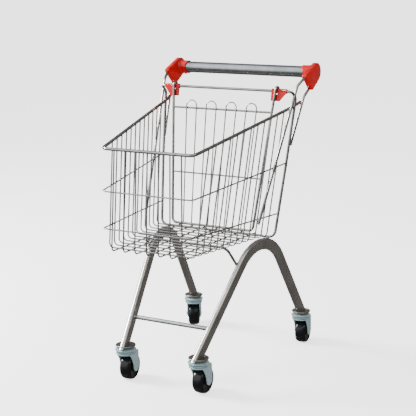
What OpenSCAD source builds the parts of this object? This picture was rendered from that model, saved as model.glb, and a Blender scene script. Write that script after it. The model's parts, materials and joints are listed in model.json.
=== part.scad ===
// Small shopping cart: a tapered wire basket on two bent flat-oval legs, a swinging rear gate,
// a tubular handle in plastic brackets, and four swivel casters.
// X runs across the cart (right side +X), Y from the front to the handle (+Y), Z up from the floor.
// The origin is on the floor, below the middle of the cart.

/* [Basket] */
// Diameter of the wire of the basket rim
rim_wire_d = 6; // [5:0.2:7]
// Diameter of the wire of the two belts round the basket
belt_wire_d = 2.8; // [2.4:0.1:3.2]
// Diameter of the wires of the walls and the floor
wall_wire_d = 2.7; // [2.4:0.1:3]
// Half width of the rim at its front corners
rim_front_half = 91; // [88:0.5:94]
// How far the rim widens for each millimetre towards the rear
rim_widening = 0.15; // [0.145:0.001:0.152]
// How far the side walls close in for each millimetre down
wall_taper = 0.03; // [0.02:0.005:0.04]
// Front of the rim, measured from the middle of the cart
rim_front_y = -213.4; // [-214:0.2:-213]
// Height of the rim at the front
rim_front_z = 442; // [438:1:446]
// Rise of the rim for each millimetre towards the rear
rim_rise = 0.176; // [0.16:0.004:0.19]
// Height of the wires of the basket floor at the front
floor_front_z = 259.5; // [257:0.5:261]
// Number of wires in each side wall
side_wire_count = 12; // [8:1:14]
// Number of wires in the front wall
front_wire_count = 7; // [5:1:9]
// Spacing of the front wires at the rim
front_wire_pitch = 22.4; // [18:0.2:23]

/* [Rear frame and gate] */
// Diameter of the rod of the rear frame and of the handle struts
frame_rod_d = 5.2; // [4.8:0.1:5.6]
// Distance of the gate's hinge rod behind the middle of the cart
hinge_y = 80.1; // [79:0.1:81]
// Height of the gate's hinge rod
hinge_z = 525.5; // [524:0.5:527]
// Diameter of the rod of the gate's frame
gate_rod_d = 5; // [4.6:0.1:5.2]
// Diameter of the gate's thin wires
gate_wire_d = 2.4; // [2:0.1:2.8]
// Spacing of the gate's thin wires at the top
gate_wire_pitch = 21.7; // [20:0.1:22]
// Gap between the hinge rod and the bore of the hinge clips
clip_gap = 0.08; // [0.05:0.01:0.1]

/* [Handle] */
// Outside diameter of the handle tube
handle_d = 22; // [21:0.5:23]
// Wall thickness of the handle tube
handle_wall = 1.2; // [0.8:0.1:2]
// Distance of the handle behind the middle of the cart
handle_y = 165.7; // [165:0.1:166.5]
// Height of the handle
handle_z = 556; // [554:0.5:558]
// Thickness of the plastic handle brackets
bracket_t = 10; // [9.5:0.5:12]

/* [Legs] */
// Depth of the flat-oval leg tube, along the leg's bend
leg_depth = 22.5; // [22:0.5:23.5]
// Width of the flat-oval leg tube, across the cart
leg_width = 11; // [10.5:0.5:12]
// Wall thickness of the leg tube
leg_wall = 1.2; // [1:0.1:1.8]
// Radius of the bend at the top of the leg, on the tube's centre line
leg_bend_r = 84; // [80:1:88]

/* [Casters] */
// Diameter of the wheels
wheel_d = 50; // [48:1:50]
// Width of the wheels
wheel_w = 22; // [20:0.5:22]
// Distance of the axle behind the swivel axis
trail = 16.7; // [15:0.1:17.5]
// Half of the distance between the front swivel axes
front_track_half = 76.5; // [75:0.5:78]
// Half of the distance between the rear swivel axes
rear_track_half = 124.5; // [124:0.5:126]
// Place of the front swivel axes along the cart
front_swivel_y = -169.4; // [-170:0.2:-168.4]
// Place of the rear swivel axes along the cart
rear_swivel_y = 179.6; // [178.8:0.2:180.4]
// Number of balls in each swivel bearing
ball_count = 10; // [6:1:12]

/* [Hidden] */
$fn = 48;
LEFT = -1;
RIGHT = 1;
weld = 0.4;            // depth by which welded rods sink into each other
lap = 0.3;             // length by which a straight piece runs on into a bend
swell = 1.01;          // bends are this much thicker, so that the lap ends inside them

// Basket
first_wire_top_y = -170.1;     // first side wire, at the rim
last_wire_top_y = 62.4;        // last side wire, at the rim
first_wire_floor_y = -200.6;     // first side wire, at the floor
last_wire_floor_y = 19.9;      // last side wire, at the floor
wire_bend_r = 9;
wire_joint = 12;               // butt joint of the wires, measured from the corner of the bend
front_wire_y = rim_front_y + 1.5;
front_lean = 0.037;            // how far the front wall runs forward for each millimetre down
front_floor_pitch = front_wire_pitch * 1.06;
rear_floor_pitch = front_wire_pitch * 1.22;
rear_rail_z = 251.7;
rear_rail_y = 46.6;
floor_drop = 0.0155;           // fall of the floor for each millimetre towards the rear
mid_belt_z = 366.5;
mid_belt_rise = 0.086;
low_belt_z = 300;
low_belt_rise = -0.009;

// Rear frame: bottom corner, waist, top corner and hinge rod corner of the right side
frame_bottom = [123.5, rear_rail_y, rear_rail_z];
frame_waist = [134, 72.6, 391];
frame_shoulder = [141, 96.9, 512];
frame_hinge = [140.5, hinge_y, hinge_z];

// Handle
handle_half = 150;             // to the middle of each bracket
front_strut_knee = [144, 97.2, 535.5];
front_strut_head = [handle_half, 119.4, 550];
rear_strut_knee = [145.9, 123.4, 512.5];
rear_strut_head = [handle_half, 148.4, 532];
screw_x = 134;
bracket_r = 18;
bracket_centre = [handle_y + 2, handle_z];
bracket_sleeve_end = 124.3;
bracket_front = [118.9, 551.5];    // Y and Z of the front corner
bracket_tip = [146.9, 528.5];      // Y and Z of the lower tip

// Gate, hung from the hinge rod and leaning parallel to the rear frame
gate_top_half = 110;
gate_bottom_half = 87;
gate_bottom_y = 25.9;
gate_bottom_z = 264;
gate_hook_r = 7.3;
clip_inner_x = 100;
clip_outer_x = 130.5;

// Legs: front foot, meeting point of the two straights, rear foot (right side)
leg_front_foot = [76.5, -174.6, 69];
leg_top = [108.4, 30.1, 292.1];
leg_rear_foot = [124, 181.4, 69];
leg_cut_z = 68;

// Caster levels above the floor
axle_z = wheel_d / 2;
axle_d = 6;
fork_gap = wheel_w / 2 + 1.4;
fork_t = 1.8;
crown_z = 54.5;
crown_t = 2;
race_r = 18;
ball_d = 4;
ball_ring_r = 12.5;
ball_z = 61;
race_gap_low = 60;
race_gap_high = 62;
upper_race_top = 66;
nut_top = 68;
dish_z = 68.6;
dish_r = 18.9;
stem_d = 6;
stem_shoulder = 72;
stem_tip_d = 4;
stem_top = 77;

// Casters: side of the cart, end of the cart (-1 front), and how far the fork has turned
front_left = [LEFT, -1, 6.5];
front_right = [RIGHT, -1, 1];
rear_left = [LEFT, 1, 23.5];
rear_right = [RIGHT, 1, 6.5];
CASTERS = [front_left, front_right, rear_left, rear_right];

chrome = [0.78, 0.78, 0.79];
satin = [0.62, 0.63, 0.64];
zinc = [0.66, 0.72, 0.74];
red = [0.82, 0.02, 0.03];
black = [0.06, 0.06, 0.06];

function unit(v) = v / norm(v);
function mid_point(p, q) = (p + q) / 2;
function side(s, p) = [s * p.x, p.y, p.z];
function mirrored(points) = [for (i = [len(points) - 1 : -1 : 0]) side(LEFT, points[i])];
function rim_x(y) = rim_front_half + rim_widening * (y - rim_front_y);
function rim_z(y) = rim_front_z + rim_rise * (y - rim_front_y);
function wall_x(y, z) = rim_x(y) - wall_taper * (rim_z(y) - z);
function floor_z(y) = floor_front_z - floor_drop * (y - rim_front_y);
function front_y(z) = front_wire_y - front_lean * (rim_front_z - z);
function half_angle(a, b, c) = acos(unit(a - b) * unit(c - b)) / 2;
function setback(a, b, c, r) = r / tan(half_angle(a, b, c));
// Outline of a flat oval: two half circles joined by straight sides
function oval(a, b) = [for (i = [2.5 : 5 : 357.5])
    [sign(cos(i)) * (a - b) / 2 + b / 2 * cos(i), b / 2 * sin(i)]];
function swivel_at(c) = c[1] < 0
    ? [c[0] * front_track_half, front_swivel_y, 0]
    : [c[0] * rear_track_half, rear_swivel_y, 0];

// Places its children with their x, y and z axes along the given directions
module place(x, y, z, at) {
    multmatrix([
        [x.x, y.x, z.x, at.x],
        [x.y, y.y, z.y, at.y],
        [x.z, y.z, z.z, at.z],
        [0, 0, 0, 1]
    ]) children();
}

// Straight round bar between two points
module bar(p, q, d) {
    v = q - p;
    translate(p)
        rotate([0, acos(v.z / norm(v)), atan2(v.y, v.x)])
            cylinder(d = d, h = norm(v));
}

// Bend of a section (its children, drawn about its own centre) in the corner a-b-c
module bend(a, b, c, r) {
    half = half_angle(a, b, c);
    centre = b + unit(unit(a - b) + unit(c - b)) * r / sin(half);
    start = b + unit(a - b) * r / tan(half);
    x = unit(start - centre);
    z = unit(cross(c - b, a - b));
    place(x, cross(z, x), z, centre)
        rotate_extrude(angle = 180 - 2 * half)
            translate([r, 0]) children();
}

// Bent rod through a list of points, with the radius of each corner between them
module rod(points, radii, d) {
    last = len(points) - 1;
    for (i = [0 : last - 1]) {
        p = points[i];
        q = points[i + 1];
        from = i == 0 ? 0 : setback(points[i - 1], p, q, radii[i - 1]) - lap;
        to = i == last - 1 ? 0 : setback(p, q, points[i + 2], radii[i]) - lap;
        bar(p + unit(q - p) * from, q - unit(q - p) * to, d);
    }
    for (i = [1 : last - 1])
        bend(points[i - 1], points[i], points[i + 1], radii[i - 1])
            circle(d = d * swell);
}

// ---------------------------------------------------------------- basket

module basket_rim() {
    rear_y = 94.9;
    corner = [rim_front_half, rim_front_y, rim_front_z];
    rear = [rim_x(rear_y), rear_y, rim_z(rear_y)];
    end = [141.5, 117.9, rim_z(117.9) + 3];
    color(chrome)
        rod(concat(mirrored([corner, rear, end]), [corner, rear, end]), [40, 12, 12, 40], rim_wire_d);
}

// Belt outside the wires, level across the front and ending on the rear frame
module belt(front_z, rise, end_y) {
    offset_x = (wall_wire_d + belt_wire_d) / 2 - 0.1;
    start_y = front_y(front_z) - offset_x;
    end_z = front_z + rise * (end_y - start_y);
    corner = [wall_x(start_y, front_z) + offset_x, start_y, front_z];
    end = [wall_x(end_y, end_z) + offset_x, end_y, end_z];
    color(chrome) rod([side(LEFT, end), side(LEFT, corner), corner, end], [9, 9], belt_wire_d);
}

module mid_belt() belt(mid_belt_z, mid_belt_rise, 71.9);

module low_belt() belt(low_belt_z, low_belt_rise, 55.4);

function side_share(i) = i / (side_wire_count - 1);
function side_top(i) = let (y = first_wire_top_y + side_share(i) * (last_wire_top_y - first_wire_top_y))
    [rim_x(y), y, rim_z(y) - rim_wire_d / 2 + weld];
function side_low(i) =
    let (
        y = first_wire_floor_y + side_share(i) * (last_wire_floor_y - first_wire_floor_y),
        z = floor_z(y) + wall_wire_d
    ) [wall_x(y, z), y, z];
function side_joint(i) = side_low(i) + unit(side_top(i) - side_low(i)) * wire_joint;

// Upright wires of one side wall, butted to the turned-up ends of the floor's cross wires
module side_wires(s) {
    color(chrome)
        for (i = [0 : side_wire_count - 1])
            bar(side(s, side_joint(i)), side(s, side_top(i)), wall_wire_d);
}

module side_wires_left() side_wires(LEFT);

module side_wires_right() side_wires(RIGHT);

// Cross wires of the floor, with both ends turned up into the side walls
module floor_cross_wires() {
    color(chrome)
        for (i = [0 : side_wire_count - 1])
            rod([side(LEFT, side_joint(i)), side(LEFT, side_low(i)), side_low(i), side_joint(i)],
                [wire_bend_r, wire_bend_r], wall_wire_d);
}

function front_index(i) = i - (front_wire_count - 1) / 2;
function front_top(i) = [
    front_index(i) * front_wire_pitch, front_wire_y, rim_front_z - rim_wire_d / 2 + weld
];
function front_low(i) =
    let (y = front_y(floor_front_z)) [front_index(i) * front_floor_pitch, y, floor_z(y)];
function front_joint(i) = front_low(i) + unit(front_top(i) - front_low(i)) * wire_joint;

// Upright wires of the front wall
module front_wires() {
    color(chrome)
        for (i = [0 : front_wire_count - 1]) bar(front_joint(i), front_top(i), wall_wire_d);
}

// Lengthwise wires of the floor, from their turned-up front ends back onto the rear rail
module floor_long_wires() {
    end_y = rear_rail_y + 2;
    color(chrome)
        for (i = [0 : front_wire_count - 1]) {
            end = [front_index(i) * rear_floor_pitch, end_y, floor_z(end_y)];
            rod([front_joint(i), front_low(i), end], [wire_bend_r], wall_wire_d);
        }
}

// ---------------------------------------------------------------- rear frame and struts

// Closed loop: bottom rail, two uprights and the hinge rod across the top
module rear_frame() {
    start = [0, rear_rail_y, rear_rail_z];
    right = [frame_bottom, frame_waist, frame_shoulder, frame_hinge];
    color(chrome) {
        rod(concat([start], right, mirrored(right), [start - [0.5, 0, 0]]),
            [14, 160, 8, 8, 8, 8, 160, 14], frame_rod_d);
        // Butt weld that closes the loop
        bar(start - [1.6, 0, 0], start + [1.2, 0, 0], frame_rod_d + 0.1);
    }
}

module front_strut(s) {
    foot = [120.65, -19.1, 289];
    color(chrome)
        rod([side(s, foot), side(s, front_strut_knee), side(s, front_strut_head)], [15], frame_rod_d);
}

module front_strut_left() front_strut(LEFT);

module front_strut_right() front_strut(RIGHT);

module rear_strut(s) {
    foot = [137.3, 83.2, 424];
    color(chrome)
        rod([side(s, foot), side(s, rear_strut_knee), side(s, rear_strut_head)], [20], frame_rod_d);
}

module rear_strut_left() rear_strut(LEFT);

module rear_strut_right() rear_strut(RIGHT);

// ---------------------------------------------------------------- handle

module handle_tube() {
    half = handle_half + 1;
    color(satin)
        difference() {
            bar([-half, handle_y, handle_z], [half, handle_y, handle_z], handle_d);
            bar([-half - 1, handle_y, handle_z], [half + 1, handle_y, handle_z],
                handle_d - 2 * handle_wall);
        }
}

// Points of a round corner of the bracket's outline, in Y and Z
function arc(centre, r, from, to) =
    [for (i = [0 : 6]) centre + r * [cos(from + (to - from) * i / 6), sin(from + (to - from) * i / 6)]];
bracket_outline = concat(
    arc(bracket_centre, bracket_r, 112, -59),
    arc(bracket_tip, 5, -59, -131),
    arc(bracket_front, 4, -131, -248)
);

module handle_bracket(s) {
    inner_x = handle_half - bracket_t / 2;
    color(red)
        difference() {
            union() {
                translate([s * handle_half, 0, 0])
                    rotate([90, 0, 90])
                        linear_extrude(bracket_t, center = true) polygon(bracket_outline);
                bar([s * bracket_sleeve_end, handle_y, handle_z],
                    [s * (inner_x + 1), handle_y, handle_z], handle_d + 4);
            }
            bar([s * (bracket_sleeve_end - 1), handle_y, handle_z],
                [s * (handle_half + 2), handle_y, handle_z], handle_d + 0.1);
            for (strut = [[front_strut_knee, front_strut_head], [rear_strut_knee, rear_strut_head]])
                bar(side(s, strut[0]), side(s, strut[1] + unit(strut[1] - strut[0]) * 0.3),
                    frame_rod_d + 0.2);
            bar([s * screw_x, handle_y, handle_z - 16], [s * screw_x, handle_y, handle_z - 9], 3);
        }
}

module handle_bracket_left() handle_bracket(LEFT);

module handle_bracket_right() handle_bracket(RIGHT);

// Self-tapping screws from below, through each sleeve into the handle tube
module bracket_screws() {
    color(zinc)
        for (s = [LEFT, RIGHT]) {
            head_z = handle_z - handle_d / 2 - 2;
            bar([s * screw_x, handle_y, head_z - 1.6], [s * screw_x, handle_y, head_z - 0.2], 5);
            bar([s * screw_x, handle_y, head_z - 0.4], [s * screw_x, handle_y, head_z + 5], 2.8);
        }
}

// ---------------------------------------------------------------- legs

// Straight length of oval section through a foot: end -1 is the front foot, 1 the rear foot
module foot_length(s, end, depth, width) {
    foot = side(s, end < 0 ? leg_front_foot : leg_rear_foot);
    other = side(s, end < 0 ? leg_rear_foot : leg_front_foot);
    top = side(s, leg_top);
    normal = unit(cross(other - top, foot - top));
    along = unit(top - foot);
    place(cross(normal, along), normal, along, foot - along * 14)
        linear_extrude(40) polygon(oval(depth, width));
}

// Section of the leg swept along both straights and the bend; grow widens it all round
module leg_sweep(s, depth, width, over) {
    a = side(s, leg_front_foot);
    b = side(s, leg_top);
    c = side(s, leg_rear_foot);
    normal = unit(cross(c - b, a - b));
    back = setback(a, b, c, leg_bend_r) - lap;
    for (foot = [a, c]) {
        along = unit(b - foot);
        place(cross(normal, along), normal, along, foot - along * over)
            linear_extrude(norm(b - foot) - back + over) polygon(oval(depth, width));
    }
    bend(a, b, c, leg_bend_r) polygon(oval(depth + 0.1, width + 0.1));
}

module leg(s) {
    color(chrome)
        difference() {
            leg_sweep(s, leg_depth, leg_width, 14);
            leg_sweep(s, leg_depth - 2 * leg_wall, leg_width - 2 * leg_wall, 15);
            translate([-200, -300, leg_cut_z - 60]) cube([400, 600, 60]);
        }
}

module leg_left() leg(LEFT);

module leg_right() leg(RIGHT);

// Rod across, between the inner faces of the two front legs
module front_crossbar() {
    color(chrome) bar([-77.8, -129.9, 113.3], [77.8, -129.9, 113.3], 8);
}

// Rod under the basket floor, bent down to the inner faces of the front legs
module support_rod() {
    high = [85, -78.9, 253.8];
    low = [89.7, -44.9, 214];
    color(chrome) rod([side(LEFT, low), side(LEFT, high), high, low], [15, 15], 5);
}

// Plastic plugs inside the feet, drilled for the caster stems
module leg_plugs() {
    color(black)
        for (s = [LEFT, RIGHT], end = [-1, 1])
            difference() {
                foot_length(s, end, leg_depth - 2 * leg_wall - 0.2, leg_width - 2 * leg_wall - 0.2);
                translate([-200, -300, leg_cut_z - 60 + 0.1]) cube([400, 600, 60]);
                translate(swivel_at([s, end]) + [0, 0, 60]) cylinder(d = stem_d + 0.1, h = 18);
            }
}

// ---------------------------------------------------------------- fixed parts of the casters

// Shallow dishes round the feet, which bump first against a wall
module bumper_dishes() {
    color(zinc)
        for (c = CASTERS)
            difference() {
                translate(swivel_at(c) + [0, 0, dish_z])
                    rotate_extrude()
                        polygon([
                            [0, 0], [dish_r - 3, 0], [dish_r - 0.8, 0.8], [dish_r, 2],
                            [dish_r - 0.4, 3.2], [dish_r - 1.6, 3.6], [dish_r - 2.6, 2.6],
                            [dish_r - 4, 1.6], [0, 1.6]
                        ]);
                foot_length(c[0], c[1], leg_depth + 0.04, leg_width + 0.04);
            }
}

// Swivel pins: head below the fork's crown, shank through the bearing, stem up into the leg
module swivel_pins() {
    color(zinc)
        for (c = CASTERS)
            translate(swivel_at(c))
                rotate_extrude()
                    polygon([
                        [0, 51.3], [5.5, 51.3], [6.5, 52.3], [6.5, 54], [stem_d / 2, 54],
                        [stem_d / 2, stem_shoulder - 1], [stem_tip_d / 2, stem_shoulder],
                        [stem_tip_d / 2, stem_top], [0, stem_top]
                    ]);
}

module stem_nuts() {
    color(zinc)
        for (c = CASTERS)
            translate(swivel_at(c) + [0, 0, upper_race_top])
                difference() {
                    cylinder(r = 7.2, h = nut_top - upper_race_top, $fn = 6);
                    translate([0, 0, -1]) cylinder(d = stem_d + 0.1, h = 5);
                }
}

// Fixed upper race: a cap whose skirt covers the balls
module upper_races() {
    color(zinc)
        for (c = CASTERS)
            translate(swivel_at(c))
                rotate_extrude()
                    polygon([
                        [stem_d / 2 + 0.05, race_gap_high], [ball_ring_r - 2.1, race_gap_high],
                        [ball_ring_r - 1.2, 63.1], [ball_ring_r + 1.2, 63.1],
                        [ball_ring_r + 2.1, race_gap_high], [race_r + 1.6, race_gap_high],
                        [race_r + 1.6, 63.4], [race_r - 2, upper_race_top - 0.6],
                        [race_r - 6, upper_race_top], [stem_d / 2 + 0.05, upper_race_top]
                    ]);
}

module bearing_balls() {
    color(satin)
        for (c = CASTERS, i = [0 : ball_count - 1])
            translate(swivel_at(c) + [0, 0, ball_z])
                rotate([0, 0, 360 * i / ball_count])
                    translate([ball_ring_r, 0, 0]) sphere(d = ball_d);
}

// ---------------------------------------------------------------- turning parts of the casters

// Places its children, drawn with the swivel axis on Z and the wheel behind it at +Y
module at_caster(c) {
    translate(swivel_at(c)) rotate([0, 0, c[2]]) children();
}

// Quadratic curve between two points, steered by a third
function curve(p, q, r) = [for (i = [0 : 6]) let (t = i / 6)
    (1 - t) * (1 - t) * p + 2 * t * (1 - t) * q + t * t * r];
cheek_outline = concat(
    curve([-11.5, crown_z + 0.5], [2, 45.5], [trail - 10.4, axle_z + 1]),
    arc([trail, axle_z + 2], 10.5, 195, 350),
    [[trail + 8, crown_z + 0.5]]
);

// Pressed fork: a crown plate with two cheeks
module fork(c) {
    color(zinc)
        at_caster(c)
            difference() {
                union() {
                    translate([0, 0, crown_z]) cylinder(r = race_r, h = crown_t);
                    translate([-fork_gap - fork_t, 0, crown_z])
                        cube([2 * (fork_gap + fork_t), trail + 8, crown_t]);
                    for (s = [LEFT, RIGHT])
                        translate([s * (fork_gap + fork_t / 2), 0, 0])
                            rotate([90, 0, 90])
                                linear_extrude(fork_t, center = true) polygon(cheek_outline);
                }
                cylinder(d = stem_d + 0.5, h = 80);
                translate([-20, trail, axle_z]) rotate([0, 90, 0]) cylinder(d = axle_d + 0.1, h = 40);
            }
}

// Turning lower race, fixed to the crown of the fork
module lower_race(c) {
    bottom = crown_z + crown_t;
    color(zinc)
        at_caster(c)
            rotate_extrude()
                polygon([
                    [stem_d / 2 + 0.5, bottom], [race_r - 3, bottom], [race_r - 0.5, bottom + 1.6],
                    [race_r, race_gap_low], [ball_ring_r + 2.2, race_gap_low],
                    [ball_ring_r + 1.2, 58.8], [ball_ring_r - 1.2, 58.8],
                    [ball_ring_r - 2.2, race_gap_low], [stem_d / 2 + 0.5, race_gap_low]
                ]);
}

// Axle bolt: shank through both cheeks, round head on the right
module axle(c) {
    outer = fork_gap + fork_t;
    color(zinc)
        at_caster(c)
            translate([0, trail, axle_z])
                rotate([0, 90, 0]) {
                    translate([0, 0, -outer - 3]) cylinder(d = axle_d, h = 2 * outer + 3.5);
                    translate([0, 0, outer]) cylinder(r = 4, h = 1.4);
                }
}

module axle_nut(c) {
    color(zinc)
        at_caster(c)
            translate([-fork_gap - fork_t - 2.6, trail, axle_z])
                rotate([0, 90, 0])
                    difference() {
                        cylinder(r = 5, h = 2.6, $fn = 6);
                        translate([0, 0, -1]) cylinder(d = axle_d + 0.06, h = 6);
                    }
}

// Solid wheel: rounded tread, recessed web and a hub that holds the bush
module wheel(c) {
    r = wheel_d / 2;
    w = wheel_w / 2;
    half_profile = [
        [5.1, 0], [5.1, w], [9, w], [9.6, w - 2], [r - 6.6, w - 2], [r - 5.6, w - 0.3],
        [r - 4, w], [r - 2, w - 0.8], [r - 0.7, w - 2.4], [r - 0.15, w - 4.6], [r, 0]
    ];
    lower_half = [for (i = [len(half_profile) - 2 : -1 : 1])
        [half_profile[i].x, -half_profile[i].y]];
    color(black)
        at_caster(c)
            translate([0, trail, axle_z])
                rotate([0, 90, 0])
                    rotate_extrude($fn = 96) polygon(concat(half_profile, lower_half));
}

// Flanged steel bush pressed into the wheel and turning on the axle
module wheel_bush(c) {
    color(satin)
        at_caster(c)
            translate([-wheel_w / 2 - 1, trail, axle_z])
                rotate([0, 90, 0])
                    difference() {
                        cylinder(r = 5, h = wheel_w + 2);
                        translate([0, 0, -1]) cylinder(d = axle_d + 0.1, h = wheel_w + 4);
                    }
}

module fork_front_left() fork(front_left);
module lower_race_front_left() lower_race(front_left);
module axle_front_left() axle(front_left);
module axle_nut_front_left() axle_nut(front_left);
module wheel_front_left() wheel(front_left);
module wheel_bush_front_left() wheel_bush(front_left);

module fork_front_right() fork(front_right);
module lower_race_front_right() lower_race(front_right);
module axle_front_right() axle(front_right);
module axle_nut_front_right() axle_nut(front_right);
module wheel_front_right() wheel(front_right);
module wheel_bush_front_right() wheel_bush(front_right);

module fork_rear_left() fork(rear_left);
module lower_race_rear_left() lower_race(rear_left);
module axle_rear_left() axle(rear_left);
module axle_nut_rear_left() axle_nut(rear_left);
module wheel_rear_left() wheel(rear_left);
module wheel_bush_rear_left() wheel_bush(rear_left);

module fork_rear_right() fork(rear_right);
module lower_race_rear_right() lower_race(rear_right);
module axle_rear_right() axle(rear_right);
module axle_nut_rear_right() axle_nut(rear_right);
module wheel_rear_right() wheel(rear_right);
module wheel_bush_rear_right() wheel_bush(rear_right);

// ---------------------------------------------------------------- gate

// Point of the gate's plane at a height, as a share of the way in from the gate's side rod
function gate_y(z) = gate_bottom_y
    + (hinge_y - 6 - gate_bottom_y) * (z - gate_bottom_z) / (hinge_z + gate_hook_r - gate_bottom_z);
function gate_half(z) = gate_bottom_half
    + (gate_top_half - gate_bottom_half) * (z - gate_bottom_z) / (hinge_z + gate_hook_r - gate_bottom_z);

// Side rods, bottom rail and the hooks over the hinge rod, bent from one rod
module gate_frame() {
    hook_top = hinge_z + gate_hook_r;
    corner = [gate_bottom_half, gate_bottom_y, gate_bottom_z];
    hook_front = [gate_top_half, hinge_y - 6, hook_top];
    hook_rear = [gate_top_half, hinge_y + gate_hook_r, hook_top];
    hook_end = [gate_top_half, hinge_y + gate_hook_r, hinge_z + 0.2];
    right = [corner, hook_front, hook_rear, hook_end];
    color(chrome) rod(concat(mirrored(right), right), [6.4, 5.9, 10, 10, 5.9, 6.4], gate_rod_d);
}

// Rail across the gate, in front of or behind the thin wires
module gate_rail(z, d) {
    y = gate_y(z);
    color(chrome) bar([-gate_half(z), y, z], [gate_half(z), y, z], d);
}

module gate_top_rail() gate_rail(486, 4);

module gate_mid_rail() gate_rail(362, 3);

// Thin wires, bent in pairs to hairpins with round tops
module gate_wires() {
    low_z = gate_bottom_z + gate_rod_d / 2 - weld;
    top_z = 501.2;
    bend_r = gate_wire_pitch / 2 - 0.35;
    squeeze = gate_bottom_half / gate_half(486);
    forward = (4 + gate_wire_d) / 2 - 0.1;
    color(chrome)
        for (k = [-3, -1, 1, 3]) {
            ends = [for (s = [LEFT, RIGHT]) k * gate_wire_pitch + s * gate_wire_pitch / 2];
            low = [for (x = ends) [x * squeeze, gate_y(low_z) - 1, low_z]];
            top = [for (x = ends) [x, gate_y(top_z) - forward, top_z]];
            rod([low[0], top[0], top[1], low[1]], [bend_r, bend_r], gate_wire_d);
        }
}

// Plastic clip, fast on the hinge rod: a barrel on which the gate's hook turns, and a wedge in
// front of the rod on which the gate's side rod comes to rest
module hinge_clip(s) {
    tilt = atan2(hinge_y - 6 - gate_bottom_y, hinge_z + gate_hook_r - gate_bottom_z);
    barrel_r = 4.5;
    wedge_t = 4.4;
    hook_room = gate_rod_d / 2 + 0.5;
    hook_slot_r = 8;
    wedge = [
        [clip_inner_x, 3.6], [clip_outer_x - 1, 3.6], [clip_outer_x, 2], [clip_outer_x, -2],
        [117, -19], [clip_inner_x, -19]
    ];
    color(red)
        difference() {
            union() {
                bar([s * clip_inner_x, hinge_y, hinge_z], [s * clip_outer_x, hinge_y, hinge_z],
                    2 * barrel_r);
                difference() {
                    translate([0, hinge_y, hinge_z])
                        rotate([90 - tilt, 0, 0])
                            linear_extrude(wedge_t) polygon([for (p = wedge) [s * p.x, p.y]]);
                    bar([s * (gate_top_half - hook_room), hinge_y, hinge_z],
                        [s * (gate_top_half + hook_room), hinge_y, hinge_z], 2 * hook_slot_r);
                }
            }
            bar([s * (clip_inner_x - 1), hinge_y, hinge_z], [s * (clip_outer_x + 1), hinge_y, hinge_z],
                frame_rod_d + 2 * clip_gap);
        }
}

module hinge_clip_left() hinge_clip(LEFT);

module hinge_clip_right() hinge_clip(RIGHT);

basket_rim();
mid_belt();
low_belt();
side_wires_left();
side_wires_right();
front_wires();
floor_long_wires();
floor_cross_wires();
rear_frame();
front_strut_left();
front_strut_right();
rear_strut_left();
rear_strut_right();
handle_tube();
handle_bracket_left();
handle_bracket_right();
bracket_screws();
leg_left();
leg_right();
front_crossbar();
support_rod();
leg_plugs();
bumper_dishes();
swivel_pins();
stem_nuts();
upper_races();
bearing_balls();
gate_frame();
gate_top_rail();
gate_mid_rail();
gate_wires();
hinge_clip_left();
hinge_clip_right();
fork_front_left();
lower_race_front_left();
axle_front_left();
axle_nut_front_left();
wheel_front_left();
wheel_bush_front_left();
fork_front_right();
lower_race_front_right();
axle_front_right();
axle_nut_front_right();
wheel_front_right();
wheel_bush_front_right();
fork_rear_left();
lower_race_rear_left();
axle_rear_left();
axle_nut_rear_left();
wheel_rear_left();
wheel_bush_rear_left();
fork_rear_right();
lower_race_rear_right();
axle_rear_right();
axle_nut_rear_right();
wheel_rear_right();
wheel_bush_rear_right();
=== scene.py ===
"""Looks of a small wire shopping cart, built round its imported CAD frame.

X runs across the cart, Y from the front to the handle and Z up from the floor. Sizes are
written in millimetres and turned to metres when a piece is finished.
"""

import json
import logging
import math
from collections.abc import Iterable, Sequence
from dataclasses import dataclass
from enum import Enum

import bmesh
import bpy
from bmesh.types import BMEdge, BMFace, BMVert
from mathutils import Matrix, Vector


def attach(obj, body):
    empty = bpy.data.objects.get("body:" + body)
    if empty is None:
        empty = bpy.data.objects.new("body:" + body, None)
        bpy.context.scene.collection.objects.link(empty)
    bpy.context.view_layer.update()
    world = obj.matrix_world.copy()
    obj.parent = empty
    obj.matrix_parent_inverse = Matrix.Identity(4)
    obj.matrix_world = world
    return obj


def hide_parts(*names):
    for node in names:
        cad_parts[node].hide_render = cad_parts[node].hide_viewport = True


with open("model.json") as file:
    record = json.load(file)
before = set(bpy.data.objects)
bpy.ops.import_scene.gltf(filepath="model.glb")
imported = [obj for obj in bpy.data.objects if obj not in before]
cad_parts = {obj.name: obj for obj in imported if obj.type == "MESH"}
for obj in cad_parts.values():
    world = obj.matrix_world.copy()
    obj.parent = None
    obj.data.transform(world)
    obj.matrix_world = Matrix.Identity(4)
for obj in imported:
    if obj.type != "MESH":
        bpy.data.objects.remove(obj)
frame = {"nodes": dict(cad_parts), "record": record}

MM = 0.001
# Y and Z of the rod that the gate swings on
HINGE = (80.1, 525.5)
# Edges of CAD shapes steeper than this are true edges, not facets of a round face
STEEP = math.radians(32)
# Steps of a swept bend are about this many degrees
BEND_STEP = 9
# Ends of belts and rods sink this far into the rod they are welded to
WELD = 0.1
log = logging.getLogger("cart")


class Side(Enum):
    """A side of the cart, as the sign of X."""

    LEFT = -1
    RIGHT = 1


class End(Enum):
    """An end of the cart, as the sign of Y."""

    FRONT = -1
    REAR = 1


# ---------------------------------------------------------------- finishes


def linear(hex_colour: str) -> tuple[float, float, float, float]:
    """Turns an sRGB hex colour to linear RGBA.

    Args:
        hex_colour: Colour as "#rrggbb".

    Returns:
        The linear colour with an alpha of 1.
    """
    parts = [int(hex_colour[i : i + 2], 16) / 255 for i in (1, 3, 5)]
    flat = [c / 12.92 if c <= 0.04045 else ((c + 0.055) / 1.055) ** 2.4 for c in parts]
    return (*flat, 1.0)


def per_mm(size: float) -> float:
    """Returns the noise scale whose features are about size millimetres across."""
    return 1.0 / (size * MM)


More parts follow.
